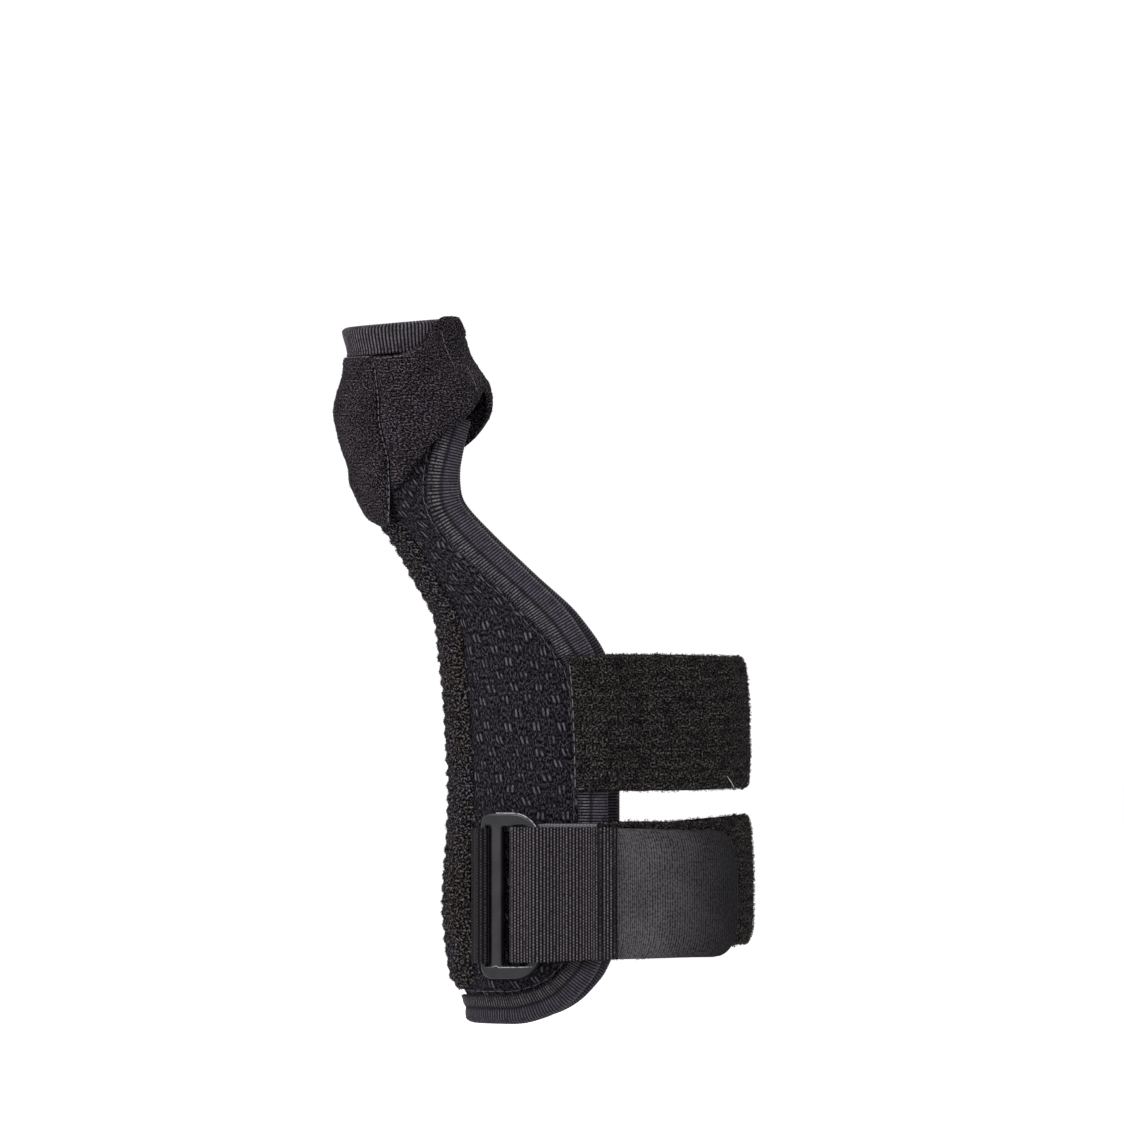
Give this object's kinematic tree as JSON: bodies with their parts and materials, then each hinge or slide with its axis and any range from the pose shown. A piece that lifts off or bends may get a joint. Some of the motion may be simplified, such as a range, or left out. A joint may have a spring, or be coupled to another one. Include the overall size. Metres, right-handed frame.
{
  "type": "thumb spica splint",
  "caption": "Wrap splint that supports the thumb and wrist: padded panel, closed thumb tube, taped edges, and two straps, one through a slide buckle.",
  "frame": {"origin": "middle of the wrist opening, at the height of the upper strap's middle", "axes": "+Z towards the fingers and the thumb tube's rim, -X towards the thumb side, -Y towards the back of the hand"},
  "size_m": [0.1187, 0.0701, 0.1982],
  "materials": {
    "panel_knit": "ribbed spacer knit with a brushed face",
    "thumb_plush": "short looped plush",
    "binding_tape": "cross-ribbed tape, slight sheen",
    "strap_pile": "unbroken loop pile",
    "webbing": "plain woven webbing, slight sheen",
    "hook_backing": "smooth ribbed backing of hook tape",
    "buckle_plastic": "satin moulded plastic"
  },
  "bodies": {
    "root": {"body_panel": "panel_knit", "stay_pocket": "panel_knit", "edge_binding": "binding_tape", "thumb_binding": "binding_tape", "thumb_lobe": "thumb_plush", "thumb_flap": "thumb_plush", "wrist_strap": "strap_pile", "forearm_strap": "strap_pile", "strap_webbing": "webbing", "hook_tab": "hook_backing", "slide_buckle": "buckle_plastic", "buckle_tab": "webbing"}
  },
  "joints": []
}
